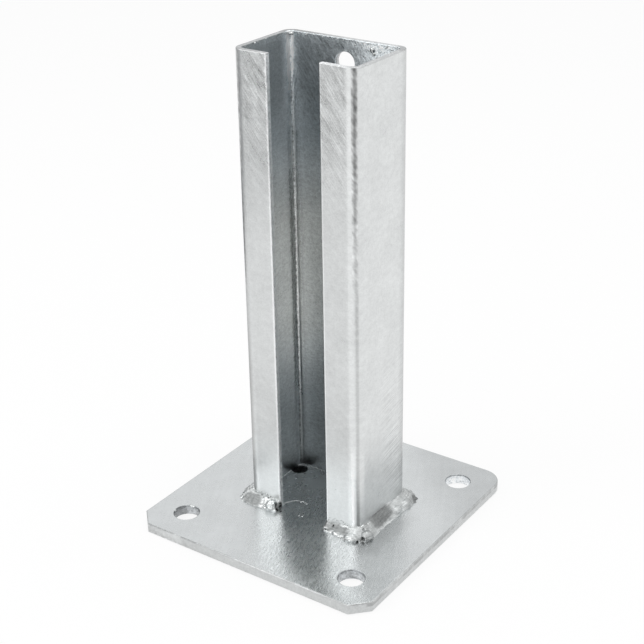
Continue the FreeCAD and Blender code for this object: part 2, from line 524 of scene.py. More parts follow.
def line_tree(name, asked):
    """A node tree for shapes along a line, with its named inputs and the line's evenly spaced points."""
    tree = bpy.data.node_groups.new(name, "GeometryNodeTree")
    tree.interface.new_socket("Geometry", in_out="INPUT", socket_type="NodeSocketGeometry")
    for label, value in asked.items():
        socket = tree.interface.new_socket(label, in_out="INPUT", socket_type=socket_kinds[type(value)])
        socket.default_value = value
    tree.interface.new_socket("Finish", in_out="INPUT", socket_type="NodeSocketMaterial")
    tree.interface.new_socket("Geometry", in_out="OUTPUT", socket_type="NodeSocketGeometry")
    given = add_node(tree, "NodeGroupInput").outputs
    line = add_node(tree, "GeometryNodeMeshToCurve", (given["Geometry"],))
    steps = add_node(
        tree, "GeometryNodeCurveToPoints", {"Curve": line, "Length": given["Spacing"]}, mode="LENGTH"
    )
    return tree, given, steps


def end_tree(tree, given, points, shape, sizes, turned=(0, 0, 0)):
    """Sets the shape on each point, sized by chance, and makes the copies real in their material."""
    share = add_node(
        tree, "FunctionNodeRandomValue", {2: given["Least share"], 3: 1.0, "Seed": given["Seed"]},
        data_type="FLOAT",
    )
    scale = add_node(tree, "ShaderNodeVectorMath", {0: sizes, "Scale": share.outputs[1]}, operation="SCALE")
    copies = add_node(
        tree, "GeometryNodeInstanceOnPoints",
        {"Points": points, "Instance": shape, "Rotation": turned, "Scale": scale},
    )
    real = add_node(tree, "GeometryNodeRealizeInstances", (copies,))
    finish = add_node(tree, "GeometryNodeSetMaterial", {"Geometry": real, "Material": given["Finish"]})
    add_node(tree, "NodeGroupOutput", (finish,))
    return tree


def ripple_tree():
    tree, given, steps = line_tree("weld_ripples", {
        "Spacing": 1.7 * MM, "Ripple length": 3.4 * MM, "Least share": 0.93, "Root share": 0.3,
        "Face flatness": 0.8, "Seed": 4,
    })
    ball = add_node(tree, "GeometryNodeMeshIcoSphere", {"Radius": 1.0, "Subdivisions": 4})
    place = add_node(tree, "GeometryNodeInputPosition")
    axes = add_node(tree, "ShaderNodeSeparateXYZ", (place,)).outputs
    pressed = {}
    for axis in "XZ":
        root = add_node(tree, "ShaderNodeMath", (axes[axis], given["Root share"]), operation="MULTIPLY")
        pressed[axis] = add_node(tree, "ShaderNodeMath", (axes[axis], root), operation="MAXIMUM")
    both = add_node(tree, "ShaderNodeMath", (pressed["X"], pressed["Z"]), operation="ADD")
    corner_sum = add_node(tree, "ShaderNodeMath", (both, 0.01), operation="MAXIMUM")
    spoke = add_node(tree, "ShaderNodeCombineXYZ", pressed)
    spoke_length = add_node(tree, "ShaderNodeVectorMath", (spoke,), operation="LENGTH")
    chamfer = add_node(
        tree, "ShaderNodeMath", (spoke_length.outputs["Value"], corner_sum), operation="DIVIDE",
        use_clamp=True,
    )
    flattening = add_node(tree, "ShaderNodeMath", (chamfer, given["Face flatness"]), operation="POWER")
    flat_spoke = add_node(tree, "ShaderNodeVectorMath", {0: spoke, "Scale": flattening}, operation="SCALE")
    lengthwise = add_node(tree, "ShaderNodeCombineXYZ", {"Y": axes["Y"]})
    flatter = add_node(tree, "ShaderNodeVectorMath", (flat_spoke, lengthwise), operation="ADD")
    ripple = add_node(tree, "GeometryNodeSetPosition", {"Geometry": ball, "Position": flatter})
    outward, reach, rise = (
        add_node(tree, "GeometryNodeInputNamedAttribute", {"Name": name}, data_type="FLOAT")
        for name in ("outward", "reach", "rise")
    )
    about = add_node(tree, "ShaderNodeCombineXYZ", {"Z": outward})
    turned = add_node(tree, "FunctionNodeEulerToRotation", (about,))
    size = add_node(tree, "ShaderNodeCombineXYZ", {"X": reach, "Y": given["Ripple length"], "Z": rise})
    return end_tree(tree, given, steps, ripple, size, turned)


ripples = ripple_tree()
print("ripple tree has", len(ripples.nodes), "nodes")

# %% [markdown]
# The right bead starts at the slot, runs along the lip, swells round the folded corner and ends
# just past the back corner. The left one is its mirror, and a little smaller. Both are as wide and
# high as the imported beads, and both were dipped in zinc, so they are lumpy, with a few open pits
# where gas came out. Four shares are stored on their points for the finish: calm where the zinc
# lies smooth, dull, painted highlight, and painted shade in the pits. A bead's own map says how far
# along it and how far up its face each point lies.

# %% Lay the two beads
weld_level = plate_high.z
melt_voxel = 0.32 * MM
bead_grains = ((5.0, 0.7), (2.2, 0.25))
bead_ribbons = ((6.0, 1.5, 0.45), (3.0, 0.9, 0.25))


def feet_along(stations):
    """Where the bead meets the wall's foot at each station, and how far along that lies."""
    feet = [Vector((*(place + facing * half_sheet), weld_level)) for place, facing in stations]
    return feet, lengths_along(feet)


def sizes_at(sizes, share):
    """Reach and rise at a share of the bead's length, between the sizes that are given."""
    for (low, *here), (high, *there) in zip(sizes, sizes[1:]):
        if share <= high:
            mix = (share - low) / (high - low)
            return [a * (1 - mix) + b * mix for a, b in zip(here, there)]
    return sizes[-1][1:]


def line_mesh(name, places):
    mesh = bpy.data.meshes.new(name)
    mesh.from_pydata(places, [(step, step + 1) for step in range(len(places) - 1)], [])
    return mesh


def bead_line(name, stations, first, last, sizes):
    """A line along the channel's foot with the bead's outward way, reach and rise at each point."""
    places, values = [], []
    turn = math.atan2(stations[0][1].y, stations[0][1].x)
    for foot, length, (_, facing) in zip(*feet_along(stations), stations):
        turn += math.remainder(math.atan2(facing.y, facing.x) - turn, math.tau)
        if first <= length <= last:
            places.append(foot)
            values.append((turn, *sizes_at(sizes, (length - first) / (last - first))))
    mesh = line_mesh(name, places)
    for label, column in zip(("outward", "reach", "rise"), zip(*values)):
        mesh.attributes.new(label, "FLOAT", "POINT").data.foreach_set("value", column)
    return mesh


def laid_along(name, line, tree, values):
    """A new object: what the node tree lays along a line. The tree's inputs are set by identifier."""
    thing = new_object(name, line)
    laying = change(thing, "NODES", node_group=tree)
    for item in tree.interface.items_tree:
        if item.item_type == "SOCKET" and item.in_out == "INPUT" and item.name in values:
            laying[item.identifier] = values[item.name]
    plain_mesh(thing)
    return thing


def add_lumps(mesh, lumps):
    """Adds round lumps to a mesh: each is a place and three half sizes, in millimetres."""
    whole = bmesh.new()
    whole.from_mesh(mesh)
    for place, half_sizes in lumps:
        seat = Matrix.Translation(Vector(place) * MM) @ Matrix.Diagonal((*(Vector(half_sizes) * MM), 1))
        bmesh.ops.create_icosphere(whole, subdivisions=3, radius=1.0, matrix=seat)
    whole.to_mesh(mesh)
    whole.free()


def melt(thing):
    """Melts overlapping shapes into one skin."""
    change(thing, "REMESH", mode="VOXEL", voxel_size=melt_voxel)
    change(thing, "SMOOTH", factor=0.5, iterations=10)
    return plain_mesh(thing)


def roughen(mesh, pits):
    """Moves each point along its normal: for every grain size, for ribbons along the bead, and for pits."""
    own_map = mesh.attributes["bead_map"].data
    calm = mesh.attributes["calm"].data

    def push(vertex):
        move = 0.0
        for size, height in bead_grains:
            move += noise.noise(vertex.co / (size * MM)) * height * MM
        along, up, _ = own_map[vertex.index].vector
        for length, width, height in bead_ribbons:
            move += noise.noise(Vector((along / (length * MM), up / (width * MM), 0))) * height * MM
        move *= 1 - 0.6 * calm[vertex.index].value
        for place, reach, depth in pits:
            far = (vertex.co - Vector(place) * MM).length / (reach * MM)
            if far < 3:
                move -= depth * MM * math.exp(-far * far)
        return move

    push_points(mesh, push)


def paint(mesh, name, spots, wobble=0.8):
    """Stores a share on each point: one inside a spot, nought outside it, with a border that wobbles."""
    values = []
    for vertex in mesh.vertices:
        nearest = 9.0
        for place, half_sizes in spots:
            offset = (vertex.co - Vector(place) * MM) / MM
            offset += noise.noise_vector(vertex.co / (2.0 * MM)) * wobble
            nearest = min(nearest, sum((o / h) ** 4 for o, h in zip(offset, half_sizes)))
        values.append(1 / (1 + nearest ** 3))
    mesh.attributes.new(name, "FLOAT", "POINT").data.foreach_set("value", values)


def map_bead(mesh, stations):
    """Stores on each point how far along the bead it is, and how far up its face."""
    feet, lengths = feet_along(stations)
    nearest = kdtree.KDTree(len(feet))
    for index, foot in enumerate(feet):
        nearest.insert(foot, index)
    nearest.balance()
    values = []
    for vertex in mesh.vertices:
        _, index, _ = nearest.find((vertex.co.x, vertex.co.y, weld_level))
        offset = vertex.co - feet[index]
        onward = (feet[min(index + 1, len(feet) - 1)] - feet[max(index - 1, 0)]).normalized()
        along = offset.dot(onward)
        values += (lengths[index] + along, offset.z - (offset.xy - onward.xy * along).length, 0.0)
    mesh.attributes.new("bead_map", "FLOAT_VECTOR", "POINT").data.foreach_set("vector", values)


def lay_bead(name, stations, span, seed, sizes, lumps, pits, calm, dull, painted_highlight):
    """One bead, in millimetres. Sizes are rows of a share, reach and rise, pits of a place, reach and
    depth, and the others of a place and half sizes.
    """
    sizes = [(share, reach * MM, rise * MM) for share, reach, rise in sizes]
    line = bead_line(name, stations, span[0] * MM, span[1] * MM, sizes)
    bead = laid_along(name, line, ripples, {"Seed": seed})
    add_lumps(bead.data, lumps)
    mesh = melt(bead)
    map_bead(mesh, stations)
    paint(mesh, "calm", calm)
    roughen(mesh, pits)
    # Shares for the finish: dull patches, spots of painted highlight, and painted shade in the pits.
    paint(mesh, "dull", dull)
    paint(mesh, "painted_highlight", painted_highlight)
    paint(mesh, "pit_shade", [(place, (reach,) * 3) for place, reach, _ in pits], wobble=0.2)
    mesh.shade_smooth()
    return bead


right_bead = lay_bead(
    "zinc_weld_right", channel_line[::-1], (2.0, 73.0), 4,
    sizes=(
        (0.0, 3.6, 3.2), (0.06, 5.0, 4.2), (0.12, 6.0, 4.8), (0.22, 7.2, 5.6), (0.30, 7.6, 6.2),
        (0.40, 6.8, 6.8), (0.50, 6.4, 7.2), (0.62, 6.6, 6.8), (0.72, 7.4, 6.2), (0.80, 7.8, 6.0),
        (0.89, 9.6, 5.6), (1.0, 6.0, 3.4),
    ),
    lumps=(
        ((42.6, -21.6, 7.0), (3.6, 3.8, 3.6)), ((36.0, -26.6, 6.6), (4.6, 3.2, 2.8)),
        ((18.6, -24.8, 6.3), (1.7, 1.5, 1.0)), ((20.4, -27.2, 6.1), (2.2, 1.2, 0.8)),
        ((42.2, 8.0, 7.0), (3.0, 4.6, 3.2)), ((42.6, 17.0, 6.8), (3.2, 4.4, 3.0)),
    ),
    pits=(
        ((39.9, -20.7, 10.6), 0.6, 0.8), ((42.2, -25.3, 7.4), 1.1, 1.2), ((40.2, -27.3, 6.5), 0.6, 0.4),
        ((38.8, -27.9, 6.5), 0.5, 0.3), ((22.8, -24.6, 8.6), 0.5, 0.6),
    ),
    calm=(
        ((42.6, 11.0, 9.5), (6.0, 9.0, 5.0)), ((44.0, -17.0, 9.0), (3.5, 3.5, 3.5)),
        ((41.4, -5.0, 10.8), (4.5, 9.4, 4.0)), ((26.5, -25.8, 8.8), (8.0, 2.6, 1.8)),
        ((38.6, -24.6, 9.2), (5.0, 3.6, 3.2)),
    ),
    dull=(
        ((41.4, -5.0, 10.8), (4.5, 9.4, 3.3)), ((39.2, -3.5, 13.2), (2.2, 7.0, 1.2)),
        ((26.5, -25.6, 8.8), (7.5, 2.2, 1.5)), ((34.0, -29.0, 6.6), (3.0, 1.5, 0.5)),
        ((45.0, 24.6, 6.0), (3.5, 3.4, 2.6)), ((20.0, -25.2, 8.2), (3.0, 2.2, 1.6)),
    ),
    painted_highlight=(
        ((44.8, -5.0, 6.2), (3.0, 9.0, 0.8)), ((41.0, -24.3, 11.2), (1.8, 1.8, 1.4)),
        ((34.0, -28.0, 7.6), (5.5, 2.0, 0.7)), ((36.6, -25.2, 10.4), (1.8, 1.8, 1.2)),
    ),
)
left_bead = lay_bead(
    "zinc_weld_left", channel_line, (1.7, 71.0), 9,
    sizes=(
        (0.0, 5.4, 4.8), (0.08, 6.2, 5.4), (0.16, 6.8, 5.0), (0.21, 7.8, 5.2), (0.27, 9.2, 6.2),
        (0.34, 7.4, 5.8), (0.6, 6.4, 5.0), (0.9, 6.0, 4.8), (1.0, 4.5, 3.2),
    ),
    lumps=(((-17.8, -26.0, 7.6), (3.4, 3.3, 3.8)),),
    pits=(
        ((-13.0, -23.9, 7.9), 0.8, 0.6), ((-13.8, -26.6, 6.8), 0.7, 0.5), ((-13.6, -23.7, 9.4), 0.5, 0.4),
        ((-26.4, -23.8, 11.0), 0.6, 0.5), ((-21.2, -24.0, 10.8), 0.6, 0.5),
    ),
    calm=(((-30.5, -27.5, 8.6), (6.0, 4.5, 4.0)),),
    dull=(((-13.4, -25.0, 8.2), (1.7, 2.4, 2.4)), ((-30.5, -27.5, 8.6), (6.0, 3.4, 3.0))),
    painted_highlight=(
        ((-37.0, -20.5, 10.5), (3.0, 5.0, 3.0)), ((-19.2, -26.4, 9.4), (3.2, 3.0, 2.6)),
        ((-16.0, -29.0, 7.2), (2.4, 2.0, 1.2)), ((-25.0, -26.0, 9.6), (1.2, 1.2, 1.0)),
        ((-29.0, -25.0, 11.0), (1.0, 1.0, 0.8)),
    ),
)
for bead, node in ((right_bead, "weld_right"), (left_bead, "weld_left")):
    low, high = (Vector(bead.bound_box[corner]) for corner in (0, 6))
    print(bead.name, len(bead.data.vertices), "points", [round(v / MM, 1) for v in (*low, *high)])
    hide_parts(node)
    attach(bead, "root")

# %% [markdown]
# Zinc is liquid when the channel leaves the bath, and the last of it freezes as drops: small ones
# curdle along the inner edge of the rim and sit in a row along the lips' feet, a few bigger ones
# sit near the hole, and a thin run closes the corner where the walls meet the plate. A fine ridge
# crosses the plate between the beads. The rows are one node tree on a line. It drops a flat ball
# every few millimetres or less, each moved and sized by chance from a fixed seed.

# %% Drops and runs of frozen zinc
def drop_tree():
    tree, given, steps = line_tree("frozen_drops", {
        "Spacing": 2.6 * MM, "Sizes": (0.7 * MM, 0.35 * MM, 0.5 * MM), "Least share": 0.35,
        "Wander": (1.2 * MM, 0.1 * MM, 0.35 * MM), "Seed": 3,
    })
    lowest = add_node(tree, "ShaderNodeVectorMath", {0: given["Wander"], "Scale": -1.0}, operation="SCALE")
    moved = add_node(
        tree, "FunctionNodeRandomValue", {0: lowest, 1: given["Wander"], "Seed": given["Seed"]},
        data_type="FLOAT_VECTOR",
    )
    strewn = add_node(tree, "GeometryNodeSetPosition", {"Geometry": steps, "Offset": moved})
    ball = add_node(tree, "GeometryNodeMeshIcoSphere", {"Radius": 1.0, "Subdivisions": 3})
    return end_tree(tree, given, strewn, ball, given["Sizes"])


def drop_row(name, places, seed, spacing, sizes, wander, least_share=0.35):
    """One row of frozen drops along a line of places. All sizes are in millimetres."""
    line = line_mesh(name, [Vector(place) * MM for place in places])
    row = laid_along(name, line, frozen_drops, {
        "Seed": seed, "Spacing": spacing * MM, "Sizes": Vector(sizes) * MM, "Wander": Vector(wander) * MM,
        "Least share": least_share,
    })
    row.data.shade_smooth()
    return row


def single_drops(name, drops):
    """Drops at places of their own, each with its half sizes."""
    mesh = bpy.data.meshes.new(name)
    add_lumps(mesh, drops)
    mesh.shade_smooth()
    return new_object(name, mesh)


frozen_drops = drop_tree()
wall_back, wall_left = channel_high.y / MM - 3.0, channel_low.x / MM + 3.0
lip_face, rim = channel_low.y / MM, channel_high.z / MM
near_wall = wall_back - 0.1
drop_pieces = [drop_row(*row) for row in (
    ("zinc_spatter_right_lip", ((18.5, lip_face, 11.0), (37.0, lip_face, 12.2)),
     3, 1.4, (0.5, 0.35, 0.45), (0.6, 0.1, 1.3)),
    ("zinc_spatter_left_lip", ((-30.0, lip_face, 12.4), (-17.0, lip_face, 11.4)),
     11, 2.0, (0.6, 0.4, 0.5), (0.6, 0.1, 0.9)),
    ("zinc_drops_back_rim", ((-26, near_wall, rim - 0.9), (35, near_wall, rim - 0.9)),
     5, 2.9, (0.8, 0.3, 0.4), (1.2, 0.1, 0.35)),
    ("zinc_drops_back_wall", ((4, wall_back, rim - 2.8), (34, wall_back, rim - 3.4)),
     8, 2.3, (0.5, 0.22, 0.4), (2.0, 0.0, 1.6)),
    ("zinc_drops_left_rim", ((wall_left, -14, rim - 0.8), (wall_left, 17, rim - 0.8)),
     2, 6.5, (0.3, 0.7, 0.4), (0.0, 1.5, 0.3)),
    ("zinc_run_back_foot", ((-26.4, near_wall, 6.1), (20, near_wall, 6.1)),
     6, 0.7, (1.4, 0.5, 0.48), (0.0, 0.02, 0.0), 0.88),
    ("zinc_run_left_foot", ((wall_left + 0.1, -16, 6.1), (wall_left + 0.1, 11.4, 6.1)),
     7, 0.8, (0.55, 1.4, 0.5), (0.05, 0.0, 0.0), 0.7),
)]
drop_pieces.append(single_drops("zinc_drops_single", (
    ((18.2, wall_back, 260.2), (1.5, 0.9, 1.7)), ((19.2, wall_back, 258.2), (0.8, 0.5, 0.9)),
    ((20.6, wall_back, 256.6), (0.5, 0.3, 0.5)), ((-29.8, 19.4, 262.9), (1.5, 1.2, 1.0)),
    ((26.7, wall_back, 262.8), (0.6, 0.5, 0.6)), ((29.6, wall_back, 261.8), (0.7, 0.5, 0.5)),
    ((-32.2, -7.4, 263.1), (0.4, 0.8, 0.6)), ((-32.2, 4.8, 25.3), (0.3, 0.35, 0.35)),
)))
ridge = (
    (-15, -20.3), (-14.6, -17.1), (-13.3, -15), (-11.6, -12.7), (-9.2, -11.1), (-6.4, -11.1), (-3.8, -11.9),
)
drop_pieces.append(drop_row(
    "zinc_ridge_on_plate", [(*place, 6.0) for place in ridge], 4, 0.5, (0.5, 0.5, 0.3), (0.15, 0.15, 0.0), 0.6
))
drop_pieces.append(single_drops("zinc_drops_on_plate", (
    ((-8.0, -11.3, 6.0), (1.0, 1.4, 0.45)), ((-0.9, -23.1, 6.0), (0.7, 1.2, 0.3)),
    ((1.0, -22.9, 6.0), (0.6, 0.9, 0.3)), ((-57.0, -48.2, 5.7), (2.3, 1.0, 0.6)),
    ((-61.9, -56.6, 5.6), (0.5, 0.9, 0.5)), ((62.3, -56.2, 5.6), (0.4, 0.8, 0.5)),
)))
for piece in drop_pieces:
    print(piece.name, len(piece.data.polygons), "faces")
    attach(piece, "root")

# %% [markdown]
# Hot-dip zinc on rolled steel is a soft grey mirror. Fresh zinc gives back about seven tenths of
# the light. What makes it look like zinc and not like chrome is how uneven it is: cloudy patches,
# a fine grain, and runs and scratches that all go one way. Each of those is one noise pattern with
# its own real size, and their sum is used for the tone, the roughness and the bump together.

# %% Patterns of the zinc
def pattern(source, along, across, angle=0.0, shift=0.0, detail=2.0):
    """Noise whose grains are the given size along and across a direction, in millimetres and degrees."""
    placed = add_node(
        source.id_data, "ShaderNodeMapping",
        {"Vector": source, "Location": (shift, shift, 0), "Rotation": (0, 0, math.radians(angle)),
         "Scale": (along * MM, across * MM, across * MM)},
        vector_type="TEXTURE",
    )
    return add_node(
        source.id_data, "ShaderNodeTexNoise",
        {"Vector": placed, "Scale": 1.0, "Detail": detail, "Roughness": 0.6},
    ).outputs[0]


def fade(value, start, end, unit=MM):
    """Nought below start and one above end, with soft ends; or the other way if start is the larger."""
    return add_node(
        value.id_data, "ShaderNodeMapRange",
        {"Value": value, "From Min": min(start, end) * unit, "From Max": max(start, end) * unit,
         "To Min": float(start > end), "To Max": float(start < end)},
        interpolation_type="SMOOTHSTEP",
    ).outputs[0]


def product(*factors):
    """The factors multiplied. Each is a socket, or a value and the two ends of its fade in millimetres."""
    total, *rest = (fade(*factor) if isinstance(factor, tuple) else factor for factor in factors)
    for factor in rest:
        total = add_node(factor.id_data, "ShaderNodeMath", (total, factor), operation="MULTIPLY").outputs[0]
    return total


def band(value, start, end, soft):
    """One between start and end, with ends as soft as the last number."""
    return product((value, start, start + soft), (value, end, end - soft))


def raised(start, rows):
    """Start plus a weight wherever the row's masks are one. A row is a weight and its masks."""
    total = start
    for weight, *masks in rows:
        mask = product(*masks)
        total = add_node(
            mask.id_data, "ShaderNodeMath", (mask, weight, total), operation="MULTIPLY_ADD"
        ).outputs[0]
    return total


def blend_of(start, rows):
    """Start plus each pattern's swing about its middle. A row is a weight, the pattern and its masks."""
    swings = []
    for weight, part, *masks in rows:
        swing = add_node(part.id_data, "ShaderNodeMath", (part, 0.5), operation="SUBTRACT")
        swings.append((weight, swing.outputs[0], *masks))
    return raised(start, swings)


def leveled(tone, rows):
    """The tone, changed by a share of itself wherever the row's masks are one."""
    for row in rows:
        tone = product(tone, raised(1.0, (row,)))
    return tone


def metal(name):
    """A new metal material and its tree. The IOR of a metal stays as it is."""
    material = bpy.data.materials.new(name)
    material.use_nodes = True
    material.node_tree.nodes["Principled BSDF"].inputs["Metallic"].default_value = 1.0
    return material, material.node_tree


def object_places(tree):
    """The object's own coordinates, and how far right, back and up each point lies."""
    place = add_node(tree, "ShaderNodeTexCoord").outputs["Object"]
    parts = add_node(tree, "ShaderNodeSeparateXYZ", (place,)).outputs
    return place, parts["X"], parts["Y"], parts["Z"]


def finish_zinc(tree, colour, tone, roughness, height, depth):
    """Joins tone, roughness and relief to the shader. Depth is the relief's full height in millimetres."""
    shader = tree.nodes["Principled BSDF"]
    if isinstance(colour, str):
        colour = linear(colour)[:3]
    toned = add_node(tree, "ShaderNodeVectorMath", {0: colour, "Scale": tone}, operation="SCALE")
    bump = add_node(tree, "ShaderNodeBump", {"Strength": 1.0, "Distance": depth * MM, "Height": height})
    tree.links.new(toned.outputs[0], shader.inputs["Base Color"])
    tree.links.new(roughness, shader.inputs["Roughness"])
    tree.links.new(bump.outputs[0], shader.inputs["Normal"])


print("patterns ready")

# %% [markdown]
# The outside of the channel is the brightest zinc. Near the top of the lips the sheet was brushed
# before it was dipped, and the slanting marks show through as dark streaks. The folds have short
# hatch marks, where the bending tool pressed the sheet, and the foot of the flange has fine
# scratches that rise to the back. Streaks and scratches are drawn about 0.4 mm wide, which is wider
# than real ones, so that they show. The masks read the unfolded map: from_edge is the way along the
# sheet from the nearer lip's edge, over the lip (to 15.5 mm), the fold (to 22.6) and the flange
# (to 58.6), round the back fold (to 65.6) and onto the back wall. Height is the way up.

# %% Zinc on the outside of the channel
def sheet_places(tree):
    """The unfolded map, from_edge, the height, and masks of the sheet's right and left halves."""
    own_map = add_node(tree, "ShaderNodeUVMap", uv_map="unfolded").outputs[0]
    along, height, _ = add_node(tree, "ShaderNodeSeparateXYZ", (own_map,)).outputs
    other_way = add_node(tree, "ShaderNodeMath", (channel_lengths[-1], along), operation="SUBTRACT")
    from_edge = add_node(tree, "ShaderNodeMath", (along, other_way), operation="MINIMUM")
    right_half = fade(along, 85, 95)
    left_half = fade(along, 95, 85)
    return own_map, from_edge.outputs[0], height, right_half, left_half


def channel_outside_zinc():
    material, tree = metal("hot_dip_zinc_outside")
    own_map, from_edge, height, right_half, left_half = sheet_places(tree)
    on_lip = fade(from_edge, 17, 13.5)
    brushed = product((height, 170, 250), on_lip)
    # Painted dark reflection in a band on the front right fold, with painted shade and painted highlights
    # beside it.
    painted_dark_fold = band(from_edge, 17.0, 19.9, 0.6)
    fold_shade = product(right_half, band(from_edge, 18.1, 20.0, 0.7))
    fold_shine = product(right_half, band(from_edge, 15.2, 18.3, 0.6))
    foot_shine = product(right_half, band(from_edge, 15.9, 18.6, 0.7))
    fold_cells = product(painted_dark_fold, (height, 80, 250))
    # Painted shade on the front left fold.
    painted_shade_left_fold = product(left_half, (from_edge, 15, 19))
    scratched = product((height, 120, 50), (from_edge, 32, 46))
    cloud = pattern(object_places(tree)[0], 17, 17)
    mottle = pattern(own_map, 3.0, 3.0, shift=0.3)
    grain = pattern(own_map, 0.9, 0.9, shift=0.7)
    short_streaks = pattern(own_map, 6, 0.9, 50, 0.1, 3.0)
    wide_streaks = pattern(own_map, 16, 4.5, 48, 0.5)
    thin_streaks = pattern(own_map, 14, 0.5, 52, 0.8, 1.0)
    cells = pattern(own_map, 4.6, 1.7, 66, 0.2, 1.0)
    scratches = pattern(own_map, 22, 0.42, -12, 0.9, 1.0)
    tone = blend_of(1.0, (
        (0.22, cloud), (0.28, mottle), (0.24, grain), (0.5, grain, brushed), (0.9, thin_streaks, brushed),
        (0.85, short_streaks, brushed), (0.7, wide_streaks, brushed), (1.8, cells, fold_cells),
        (1.1, scratches, scratched),
    ))
    # Painted light and shade: the fold bands above, painted shade on the back folds and the back wall,
    # and a painted highlight along the lips' slot edges. The lips are darker towards the foot, the left
    # lip is lighter at its top, and a darker line runs just below the rim.
    tone = leveled(tone, (
        (-0.06, on_lip), (-0.08, brushed), (-0.12, on_lip, (height, 110, 30)),
        (-0.035, on_lip, right_half), (-0.08, on_lip, right_half, (height, 60, 20)),
        (-0.10, on_lip, left_half, (height, 65, 35)), (0.07, on_lip, left_half, (height, 236, 258)),
        (-0.30, painted_dark_fold, right_half, (height, 170, 240)), (-0.13, painted_shade_left_fold),
        (-0.48, painted_shade_left_fold, (height, 160, 80)), (-0.22, painted_shade_left_fold, (height, 200, 250)),
        (-0.18, fold_shade, (height, 180, 140)), (-0.28, fold_shade, (height, 40, 15)),
        (0.05, fold_shine), (0.02, fold_shine, (height, 120, 200)), (0.40, foot_shine, (height, 75, 20)),
        (-0.20, (from_edge, 54, 61)), (0.30, (from_edge, 1.4, 0.6)),
        (-0.20, (height, rim - 0.9, rim - 0.4)),
    ))
    roughness = blend_of(0.32, ((0.15, cloud), (0.12, mottle), (0.2, wide_streaks, brushed)))
    relief = blend_of(0.5, (
        (0.25, grain), (0.6, mottle), (0.5, grain, brushed), (1.0, short_streaks, brushed),
        (1.4, scratches, scratched),
    ))
    finish_zinc(tree, "#dfe1e1", tone, roughness, relief, 0.10)
    return material

# %% [markdown]
# The inside gets little light from the front and none from the sides, so it looks like slate. Its
# zinc is also rougher and more grainy, because the dip drained slowly there. A ramp up the wall
# paints shade into its tone: the top and the foot darker than the middle. A second ramp makes the
# tint bluer at the top and the foot. The back left fold, which is seen through the slot, has a
# bright line in its middle, painted brighter near the top and darker further down, with painted
# shade in a band on either side. Near the top that line breaks up into curdled zinc.

# %% Zinc on the inside of the channel
# Painted shade up the inside wall: a tone for each share of the height, darker at the top and the foot.
inside_painted_shade = (
    (0.0, 0.74), (0.035, 0.95), (0.074, 0.95), (0.112, 0.89), (0.2, 0.95), (0.25, 1.08), (0.29, 1.20),
    (0.40, 1.27), (0.49, 1.24), (0.64, 1.16), (0.73, 1.11), (0.79, 1.03), (0.87, 1.01), (1.0, 1.00),
)
inside_tints = ((0.0, "#d1d6d8"), (0.18, "#d1d6d8"), (0.36, "#d5d7d6"), (0.60, "#d5d7d6"), (0.78, "#d0d6d9"))


def ramp(share, stops):
    """The colour at a share of the way, blended between stops of a place and a linear colour."""
    blend = add_node(share.id_data, "ShaderNodeValToRGB", {"Fac": share})
    elements = blend.color_ramp.elements
    for index, (place, colour) in enumerate(stops):
        stop = elements[index] if index < 2 else elements.new(place)
        stop.position = place
        stop.color = colour
    return blend.outputs["Color"]


